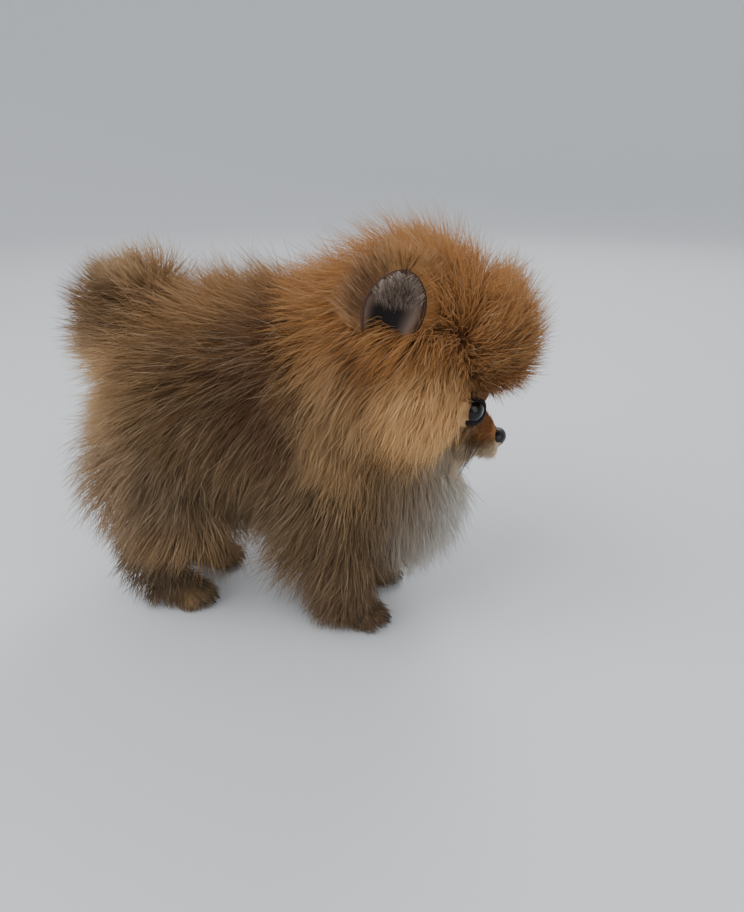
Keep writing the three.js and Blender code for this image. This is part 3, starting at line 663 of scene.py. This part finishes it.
# place: centre, spread, length, lift (1 stands up, 0 lies flat), lie (x back to front, y outwards, z up)
LIE = {
    "crown": ((58, 0, 156), 16, 46, 0.92, (-0.3, 0.35, 0.4)),
    "forehead": ((90, 0, 143), 12, 36, 0.9, (0.3, 0.3, 0.6)),
    "brow": ((104, 0, 127), 8, 20, 0.8, (0.4, 0.3, 0.3)),
    "temple": ((80, 22, 128), 9, 24, 0.88, (0.1, 0.5, -0.1)),
    "above eye": ((92, 15, 122), 7, 17, 0.7, (0.3, 0.6, 0.1)),
    "eye corner": ((95, 12, 112), 5, 4, 0.3, (-0.6, 0.6, 0.5)),
    "under eye": ((89, 17, 104), 5, 6, 0.35, (-0.8, 0.5, -0.6)),
    "bridge": ((100, 0, 113), 7, 6, 0.35, (-0.9, 0.2, 0.5)),
    "muzzle": ((101, 7, 99), 8, 5, 0.3, (-1.0, 0.4, -0.3)),
    "chin": ((96, 0, 86), 7, 9, 0.45, (-0.7, 0.2, -0.8)),
    "jaw": ((82, 8, 84), 8, 22, 0.6, (-0.3, 0.4, -0.9)),
    "cheek front": ((84, 17, 97), 7, 15, 0.5, (-0.6, 0.6, -0.8)),
    "cheek": ((76, 24, 108), 10, 29, 0.68, (-0.4, 0.6, -0.9)),
    "under cheek": ((68, 22, 94), 10, 35, 0.6, (-0.3, 0.5, -1.0)),
    "side of head": ((56, 26, 136), 12, 31, 0.75, (-0.6, 0.5, -0.5)),
    "nape": ((26, 0, 145), 14, 44, 0.8, (-0.9, 0.2, 0.2)),
    "ruff": ((36, 24, 118), 14, 38, 0.6, (-0.4, 0.3, -1.0)),
    "throat": ((68, 10, 84), 12, 30, 0.6, (-0.1, 0.3, -1.0)),
    "chest": ((74, 8, 62), 14, 38, 0.68, (0.4, 0.3, -1.0)),
    "back": ((0, 0, 138), 22, 51, 0.85, (-0.8, 0.2, 0.3)),
    "loin": ((-34, 0, 132), 18, 46, 0.85, (-0.8, 0.2, 0.3)),
    "flank": ((0, 27, 104), 22, 32, 0.68, (-0.6, 0.1, -0.8)),
    "belly": ((0, 12, 72), 20, 54, 0.7, (-0.3, 0.1, -1.0)),
    "low flank": ((-6, 24, 82), 14, 48, 0.6, (-0.3, 0.0, -1.0)),
    "rump": ((-66, 6, 104), 16, 34, 0.72, (-0.8, 0.2, -0.5)),
    "thigh": ((-60, 32, 72), 18, 30, 0.65, (-0.6, 0.3, -0.9)),
    "hock": ((-62, 24, 34), 12, 22, 0.55, (-0.6, 0.3, -0.9)),
    "upper arm": ((30, 30, 66), 16, 31, 0.65, (-0.4, 0.3, -0.9)),
    "elbow": ((22, 26, 46), 13, 46, 0.6, (-1.0, 0.2, -0.7)),
    "forearm": ((36, 24, 30), 11, 21, 0.55, (-0.5, 0.3, -0.9)),
    "front paw": ((46, 19.5, 8), 9, 7, 0.45, (0.4, 0.3, -0.8)),
    "hind paw": ((-42, 19.5, 8), 9, 7, 0.45, (0.4, 0.3, -0.8)),
    "tail root": ((-64, 0, 122), 8, 28, 0.8, (-0.8, 0.3, 0.6)),
    "tail": ((-64, 0, 142), 9, 28, 0.85, (-0.7, 0.5, 0.7)),
    "tail tip": ((-56, 0, 156), 8, 22, 0.85, (-0.2, 0.4, 0.8)),
}
LIE_NAMES = list(LIE)


def read_lie(points):
    """Length, lift and lie of the coat at points, blended from the named places around them."""
    folded = points * (1, 0, 1) + np.abs(points) * (0, 1, 0)
    weights = np.stack(
        [np.exp(-np.sum((folded - c) ** 2, 1) / (2 * spread**2)) for c, spread, *_ in LIE.values()], 1
    )
    weights += 1e-12
    strongest = weights.argmax(1)
    weights = weights**1.5
    weights /= weights.sum(1)[:, None]
    length = weights @ np.array([v[2] for v in LIE.values()], float)
    lift = weights @ np.array([v[3] for v in LIE.values()], float)
    lie = weights @ np.array([v[4] for v in LIE.values()], float)
    lie[:, 1] *= np.clip(points[:, 1] / 8, -1, 1)
    return length, lift, lie, strongest


skin.data.calc_loop_triangles()
triangle_count = len(skin.data.loop_triangles)
corners = np.empty(triangle_count * 3, np.int32)
skin.data.loop_triangles.foreach_get("vertices", corners)
corners = corners.reshape(-1, 3)
loops = np.empty(triangle_count * 3, np.int32)
skin.data.loop_triangles.foreach_get("loops", loops)
loops = loops.reshape(-1, 3)
normals = np.empty(len(skin.data.vertices) * 3, np.float32)
skin.data.vertices.foreach_get("normal", normals)
normals = normals.reshape(-1, 3).astype(float)
bake_map = np.empty(len(skin.data.loops) * 2, np.float32)
skin.data.uv_layers["OFBake"].data.foreach_get("uv", bake_map)
bake_map = bake_map.reshape(-1, 2).astype(float)
skin_mm = skin_points / MM - frame_shift
corner_points = skin_mm[corners]
edge_a = corner_points[:, 1] - corner_points[:, 0]
edge_b = corner_points[:, 2] - corner_points[:, 0]
areas = np.linalg.norm(np.cross(edge_a, edge_b), axis=1) / 2
middles = corner_points.mean(1)
*_, middle_place = read_lie(middles)


def hairless(points, outward):
    """True at the eyes, nose, mouth edge, ear mouths and the soles, where no hair grows."""
    bare = (points[:, 2] < 7) & (outward[:, 2] < -0.45)
    bare |= np.linalg.norm(points - NOSE_AT, axis=1) < 4.6
    for side in sides:
        gap = points - eye_at(side)
        far = np.linalg.norm(gap, axis=1)
        bare |= (far < 9.4) & (gap @ eye_way(side) > far * 0.53)
        front, across, upward = ear_axes(side)
        ear = points - on_head(EAR_PLACE[0], side * EAR_PLACE[1], EAR_PLACE[2]) - front * 3
        inside = np.hypot(ear @ across / 11, ear @ upward / 13)
        bare |= (inside < 1) & (ear @ front > -12)
    return bare


def tuft_mesh(
    name, roots, normal, tips, bend, width, uv, seed, clump=0.45, steps=3, clump_size=26, material=coat_material
):
    """Thin three-sided tufts from each root: straight way out, way at the tip, and width."""
    random = np.random.default_rng(seed)
    count = len(roots)
    levels = np.linspace(0, 1, steps + 1)
    spine = np.stack([roots + tips * (s - s * s / 2) + bend * (s * s / 2) for s in levels], 1)
    guides = np.arange(0, count, clump_size)
    tree = KDTree(len(guides))
    for i, g in enumerate(guides):
        tree.insert(roots[g], i)
    tree.balance()
    nearest = guides[np.array([tree.find(p)[1] for p in roots])]
    pull = clump * (0.5 + random.random(count))
    for k, s in enumerate(levels):
        target = spine[nearest, k] + (roots - roots[nearest]) * (1 - 0.85 * s)
        spine[:, k] += (target - spine[:, k]) * (np.clip(pull, 0, 0.9) * s**1.4)[:, None]
    floor = 0.5 + 0.8 * random.random(count)
    spine[:, :, 2] = np.maximum(spine[:, :, 2], floor[:, None])
    along = np.gradient(spine, axis=1)
    along /= np.linalg.norm(along, axis=2)[:, :, None] + 1e-9
    spin = random.random(count) * math.pi
    aside = np.cross(along, normal[:, None])
    aside /= np.linalg.norm(aside, axis=2)[:, :, None] + 1e-9
    over = np.cross(along, aside)
    points = []
    for k, s in enumerate(levels[:-1]):
        taper = (1 - s) ** 0.7 * (0.75 + 0.25 * min(1, s * 3))
        for corner in range(3):
            angle = spin + corner * 2 * math.pi / 3
            ring = aside[:, k] * np.cos(angle)[:, None] + over[:, k] * np.sin(angle)[:, None]
            points.append(spine[:, k] + ring * (width * taper / 2)[:, None])
    points.append(spine[:, -1])
    points = np.stack(points, 1)
    per = points.shape[1]
    faces, heights = [], []
    for k in range(steps - 1):
        for corner in range(3):
            a, b = k * 3 + corner, k * 3 + (corner + 1) % 3
            faces += [(a, b, b + 3), (a, b + 3, a + 3)]
    for corner in range(3):
        a, b = (steps - 1) * 3 + corner, (steps - 1) * 3 + (corner + 1) % 3
        faces.append((a, b, per - 1))
    faces = np.array(faces)
    heights = np.array([levels[k] for k in range(steps) for _ in range(3)] + [1.0])
    indices = (faces[None] + (np.arange(count) * per)[:, None, None]).reshape(-1, 3)
    mesh = bpy.data.meshes.new(name)
    mesh.vertices.add(count * per)
    mesh.vertices.foreach_set("co", to_row(points).astype(np.float32).ravel())
    mesh.loops.add(indices.size)
    mesh.loops.foreach_set("vertex_index", indices.astype(np.int32).ravel())
    mesh.polygons.add(len(indices))
    mesh.polygons.foreach_set("loop_start", np.arange(0, indices.size, 3, dtype=np.int32))
    mesh.polygons.foreach_set("use_smooth", np.ones(len(indices), bool))
    mesh.update()
    attribute(mesh, "root", "FLOAT_VECTOR", "POINT", np.repeat(roots, per, 0))
    attribute(mesh, "along", "FLOAT", "POINT", np.tile(heights, count))
    attribute(mesh, "vary", "FLOAT", "POINT", np.repeat(random.random(count), per))
    patch = 0.003
    local = np.stack([(np.arange(per) % 3) / 2 * patch, heights * patch], 1) - patch / 2
    corner_uv = (uv[:, None] + local[None])[:, faces.ravel()].reshape(-1, 2)
    layer = mesh.uv_layers.new(name="OFBake")
    layer.data.foreach_set("uv", np.clip(corner_uv, 0, 1).astype(np.float32).ravel())
    tufts = new_object(name, mesh, material)
    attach(tufts, "root")
    return tufts


def covers_ear(points):
    """True where hair would hang across the open mouth of an ear."""
    hides = np.zeros(len(points), bool)
    for side in sides:
        front, across, upward = ear_axes(side)
        gap = points - on_head(EAR_PLACE[0], side * EAR_PLACE[1], EAR_PLACE[2])
        aside = np.hypot(gap @ across / 10.5, gap @ upward / 12.5)
        hides |= (aside < 1) & (gap @ front > -13)
    return hides


def covers_eye(points, from_side=True):
    """True where hair would hang in front of an eye, seen along its gaze or from its own side."""
    hides = np.zeros(len(points), bool)
    for side in sides:
        gap = points - eye_at(side)
        views = [(eye_way(side), 5.0)] + [(head_way(0.15, side, 0.3), 4.4)] * from_side
        for way, clear in views:
            out = gap @ way
            aside = np.linalg.norm(gap - out[:, None] * way, axis=1)
            hides |= (aside < clear + 0.12 * out) & (out > 3)
    return hides


DENSITY = 1.0
COAT_STANDS_PROUD = (8, 2, 12)  # past the solids' box, each way
coat_low = np.array(cad_box[0]) / MM - frame_shift - COAT_STANDS_PROUD
coat_high = np.array(cad_box[1]) / MM - frame_shift + COAT_STANDS_PROUD


def plant(name, places, count, width, seed, steps=3, rough=0.27, clump=0.3):
    """One piece of the coat: tufts over the skin of the named places, as long as the lie says."""
    random = np.random.default_rng(seed)
    wanted = np.isin(middle_place, [LIE_NAMES.index(p) for p in places])
    odds = areas * wanted
    chosen = random.choice(len(areas), count, p=odds / odds.sum())
    weight = random.dirichlet((1, 1, 1), count)
    roots = np.einsum("nc,ncd->nd", weight, corner_points[chosen])
    normal = np.einsum("nc,ncd->nd", weight, normals[corners[chosen]])
    normal /= np.linalg.norm(normal, axis=1)[:, None]
    uv = np.einsum("nc,ncd->nd", weight, bake_map[loops[chosen]])
    keep = ~hairless(roots, normal)
    roots, normal, uv = roots[keep], normal[keep], uv[keep]
    length, lift, lie, _ = read_lie(roots)
    lie -= normal * np.sum(lie * normal, 1)[:, None]
    lie /= np.linalg.norm(lie, axis=1)[:, None] + 1e-6
    jitter = random.normal(size=roots.shape)
    out = normal * lift[:, None] + lie * (1 - lift)[:, None] + jitter * rough * 0.5
    out /= np.linalg.norm(out, axis=1)[:, None]
    droop = np.array((0, 0, -0.22))
    end = normal * (lift * 0.5)[:, None] + lie * (1.1 - 0.6 * lift)[:, None] + droop
    end += random.normal(size=roots.shape) * rough
    end /= np.linalg.norm(end, axis=1)[:, None]
    long = (length * (0.62 + 0.48 * random.random(len(roots)) ** 0.7))[:, None]
    thick = width * (0.7 + 0.6 * random.random(len(roots)))
    reach = (out + end) * long / 2
    room = np.where(reach > 0, coat_high, coat_low) - roots
    long *= np.clip((room / (reach + 1e-9)).min(1), 0.3, 1)[:, None]
    tip, middle = roots + (out + end) * long / 2, roots + out * long * 0.375 + end * long * 0.125
    trimmed = covers_eye(tip) | covers_eye(middle)
    long = np.where(trimmed[:, None], np.minimum(long, 3.2), long)
    tip = roots + (out + end) * long / 2
    seen = ~(covers_ear(tip) | covers_ear(middle) | covers_eye(tip, from_side=False))
    return tuft_mesh(
        name, (roots - normal * 0.6)[seen], normal[seen], (out * long)[seen], (end * long)[seen], thick[seen],
        uv[seen], seed + 1, clump, steps,
    )


coat_pieces = (
    ("crown fluff", ("crown", "forehead", "brow"), 10500, 0.38, 3, "orange_coat"),
    ("side fluff", ("side of head", "temple", "above eye"), 8200, 0.38, 3, "orange_coat"),
    ("cheek fluff", ("cheek", "under cheek", "cheek front", "jaw"), 8700, 0.36, 3, "cream_coat"),
    ("face pile", ("bridge", "muzzle", "chin", "eye corner", "under eye"), 12000, 0.28, 2, "orange_coat"),
    ("ruff", ("nape", "ruff"), 8500, 0.4, 3, "orange_coat"),
    ("bib", ("throat", "chest"), 6800, 0.4, 3, "cream_coat"),
    ("back coat", ("back",), 7000, 0.42, 3, "sable_coat"),
    ("loin coat", ("loin", "rump"), 8000, 0.42, 3, "sable_coat"),
    ("flank coat", ("flank", "low flank", "belly"), 8500, 0.42, 3, "sable_coat"),
    ("thigh coat", ("thigh", "hock"), 7200, 0.4, 3, "sable_coat"),
    ("arm coat", ("upper arm", "elbow", "forearm"), 7200, 0.4, 3, "sable_coat"),
    ("paw pile", ("front paw", "hind paw"), 6500, 0.36, 2, "sable_coat"),
    ("tail plume", ("tail root", "tail", "tail tip"), 5000, 0.4, 3, "orange_coat"),
)
for i, (name, places, count, width, steps, finish) in enumerate(coat_pieces):
    plant(name, places, int(count * DENSITY), width, 100 + i * 7, steps)

# Ear fur: soft hair on the back of each cup, a fringe at its edges and pale grey down inside.
# The same tufts, rooted on the ear's own sheet.
down_material, down_shader, start = new_material("ear down")
pale = start.node("ShaderNodeRGB")
pale.socket.default_value = linear(96, 78, 64)
pale = pale.mixed(linear(176, 160, 146), named(start, "vary", 2).between(0.1, 0.9))
start.tree.links.new(pale.socket, down_shader.inputs["Base Color"])
down_shader.inputs["Roughness"].default_value = 0.8
down_shader.inputs["Specular IOR Level"].default_value = 0.12
for side, word in zip(sides, ("right", "left")):
    random = np.random.default_rng(300 + side)
    count = int(4200 * DENSITY)
    u = random.uniform(-1, 1, count)
    v = random.uniform(0, 1, count) ** 0.9
    edge = random.random(count) < 0.35
    u = np.where(edge, np.sign(u) * (1 - 0.06 * random.random(count)), u)
    front, across, upward = ear_axes(side)
    roots = ear_point(side, u, v)
    step = 1e-3
    du = ear_point(side, u + step, v) - roots
    dv = ear_point(side, u, np.clip(v + step, 0, 1)) - ear_point(side, u, np.clip(v - step, 0, 1))
    back = np.cross(du, dv)
    back /= np.linalg.norm(back, axis=1)[:, None] + 1e-9
    back *= -np.sign(back @ front + 1e-9)[:, None]
    lie = upward + across * (u * 0.8)[:, None] + random.normal(size=roots.shape) * 0.15
    out = back * 0.9 + lie * 0.6
    out /= np.linalg.norm(out, axis=1)[:, None]
    end = lie + back * 0.5 - front * 0.1
    end /= np.linalg.norm(end, axis=1)[:, None]
    long = (12 + 3 * (1 - v) - 5 * edge) * (0.6 + 0.7 * random.random(count))
    uv = np.stack([0.5 + u * 0.45, 0.02 + v * 0.96], 1)
    fringe = tuft_mesh(
        f"ear fur {word}", roots + back * 0.5, back, out * long[:, None], end * long[:, None],
        0.32 * (0.7 + 0.6 * random.random(count)), uv, 310 + side, 0.3, 2, 14,
    )

    count = int(1600 * DENSITY)
    u = random.uniform(-0.95, 0.95, count)
    v = 0.98 - 0.55 * random.random(count) * (1 - 0.4 * np.abs(u))
    roots = ear_point(side, u, v, -EAR_THICK * 0.4)
    inward = front * 0.8 - across * (u * 0.9)[:, None] - upward * 0.25
    inward = inward + random.normal(size=roots.shape) * 0.3
    inward /= np.linalg.norm(inward, axis=1)[:, None]
    droop = inward * 0.6 - upward * 0.7 + random.normal(size=roots.shape) * 0.3
    long = (2.5 + 3.5 * random.random(count))[:, None]
    uv = np.stack([0.5 + u * 0.45, 0.02 + v * 0.96], 1)
    down = tuft_mesh(
        f"ear down {word}", roots, inward, inward * long, droop * long, np.full(count, 0.24), uv, 330 + side,
        0.2, 2, 10, down_material,
    )

# Whiskers: a few fine, dark, springy hairs in rows on each side of the muzzle.
whisker_material, whisker_shader, start = new_material("whisker")
whisker_shader.inputs["Base Color"].default_value = linear(44, 34, 28)
whisker_shader.inputs["Roughness"].default_value = 0.4
random = np.random.default_rng(9)
for side, word in zip(sides, ("right", "left")):
    for row in range(3):
        for i in range(3):
            start_at = on_head(37 + i * 3, side * (8.2 - i * 0.9), -15.5 - row * 2.2)
            way = head_way(0.25 - 0.2 * i, side, -0.35 - 0.12 * row)
            length = 15 + 5 * random.random()
            drooped_tip = start_at + way * length + (-2, 0, -2.5)
            line = curved([start_at, start_at + way * length * 0.5, drooped_tip], 12)
            whisker = cord_object(
                f"whisker {word} {row * 3 + i + 1}", line, np.linspace(0.16, 0.04, 12), whisker_material, 5
            )
            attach(whisker, "root")

# Floor: a plain pale sheet under the puppy that sweeps up all round it, so that it has no edge.
# Rings of a flat disc, then of a quarter turn up to an upright wall.
floor_material, floor_shader, start = new_material("pale floor")
floor_shader.inputs["Base Color"].default_value = linear(214, 216, 218)
floor_shader.inputs["Roughness"].default_value = 0.6
FLAT_REACH, SWEEP, RIM = 1.7, 1.1, 1.6
bend = np.linspace(0, math.pi / 2, 24)
ring_reach = np.concatenate([[0.001], FLAT_REACH + SWEEP * np.sin(bend), [FLAT_REACH + SWEEP]])
ring_height = np.concatenate([[0], SWEEP * (1 - np.cos(bend)), [RIM]])
turn = np.linspace(0, 2 * math.pi, 96, endpoint=False)
rings = np.stack(
    [
        ring_reach[:, None] * np.cos(turn),
        ring_reach[:, None] * np.sin(turn),
        np.repeat(ring_height[:, None], len(turn), 1),
    ],
    -1,
)
floor = grid_object("floor", rings, len(ring_reach), len(turn), floor_material, flip=True)

# Light: soft and even as from a big window at the front left and above, with a pale room around.
world = bpy.data.worlds.new("pale room")
world.use_nodes = True
world.node_tree.nodes["Background"].inputs[0].default_value = linear(226, 230, 236)
world.node_tree.nodes["Background"].inputs[1].default_value = 0.85
bpy.context.scene.world = world


def soft_light(name, place, size, power):
    lamp = bpy.data.lights.new(name, "AREA")
    lamp.energy = power
    lamp.size = size
    light = bpy.data.objects.new(name, lamp)
    light.location = Vector(place)
    light.rotation_mode = "QUATERNION"
    light.rotation_quaternion = (Vector((0, 0, 0.1)) - light.location).to_track_quat("-Z", "Y")
    bpy.context.scene.collection.objects.link(light)


soft_light("window", (-0.8, -0.8, 1.2), 1.5, 22)
soft_light("fill", (1.0, -1.0, 0.8), 1.2, 8)
soft_light("back", (0.2, 1.2, 1.1), 0.8, 8)

# Camera: low and close at the puppy's right, a little ahead of it, looking down on its back.
CAMERA_AT = (106.9, -314.4, 215.0)
CAMERA_WAY = math.radians(11)
CAMERA_DOWN = math.radians(23)
camera_data = bpy.data.cameras.new("camera")
camera_data.sensor_width = 36
camera_data.lens = 29.37
camera_data.clip_start = 0.01
camera = bpy.data.objects.new("camera", camera_data)
camera.location = Vector(to_row(CAMERA_AT))
camera.rotation_mode = "QUATERNION"
look = Vector(
    (
        -math.sin(CAMERA_WAY) * math.cos(CAMERA_DOWN),
        math.cos(CAMERA_WAY) * math.cos(CAMERA_DOWN),
        -math.sin(CAMERA_DOWN),
    )
)
camera.rotation_quaternion = look.to_track_quat("-Z", "Y")
bpy.context.scene.collection.objects.link(camera)
bpy.context.scene.camera = camera
